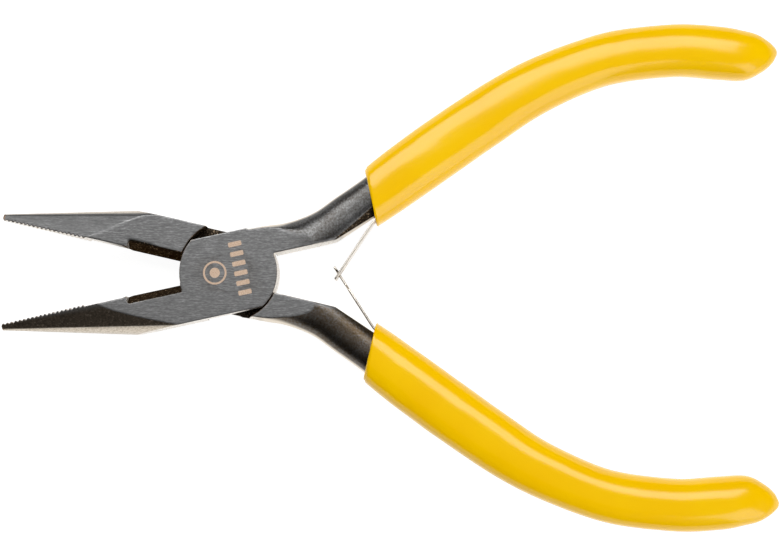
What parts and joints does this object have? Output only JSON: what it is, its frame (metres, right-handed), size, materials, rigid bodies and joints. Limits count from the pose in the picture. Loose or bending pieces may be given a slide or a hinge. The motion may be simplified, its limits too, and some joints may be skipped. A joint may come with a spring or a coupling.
{
  "type": "long nose pliers",
  "caption": "Small spring-loaded long nose pliers with fine cross teeth, a side cutter, a riveted lap joint and dipped vinyl grips.",
  "frame": {"origin": "on the pivot axis, in the lower face of the joint, on which the pliers lie", "axes": "+X along the pliers from the jaws to the handles, +Z along the pivot axis, away from the surface they lie on"},
  "size_m": [0.1232, 0.0806, 0.008],
  "materials": {
    "forged_steel": "dark oiled steel, ground flats and blasted forging skin",
    "rivet_steel": "ground flush with the joint faces",
    "spring_steel": "bright strip",
    "yellow_vinyl": "glossy dipped vinyl"
  },
  "bodies": {
    "front_handle": {"front_half": "forged_steel", "front_grip": "yellow_vinyl", "pivot_rivet": "rivet_steel", "slotted_spring_root": "spring_steel", "slotted_spring_rivet": "rivet_steel"},
    "rear_handle": {"rear_half": "forged_steel", "rear_grip": "yellow_vinyl", "tongued_spring_root": "spring_steel", "tongued_spring_rivet": "rivet_steel"},
    "slotted_spring": {"slotted_spring_blade": "spring_steel"},
    "tongued_spring": {"tongued_spring_blade": "spring_steel"}
  },
  "joints": [
    {"name": "jaw_pivot", "type": "hinge", "parent": "front_handle", "child": "rear_handle", "pos_m": [0, 0, 0.004], "axis": [0, 0, 1], "range_deg": [0, 25.2], "stiffness_Nm_per_rad": 0.8},
    {"name": "slotted_spring_flex", "type": "hinge", "parent": "front_handle", "child": "slotted_spring", "pos_m": [0.02266, 0.00865, 0.004], "axis": [0, 0, 1], "range_deg": [-22, 0]},
    {"name": "tongued_spring_flex", "type": "hinge", "parent": "rear_handle", "child": "tongued_spring", "pos_m": [0.02266, -0.00865, 0.004], "axis": [0, 0, 1], "range_deg": [0, 22]}
  ],
  "couplings": [
    {"joint": "slotted_spring_flex", "follows": "jaw_pivot", "ratio": -0.85317},
    {"joint": "tongued_spring_flex", "follows": "jaw_pivot", "ratio": 0.85317}
  ]
}
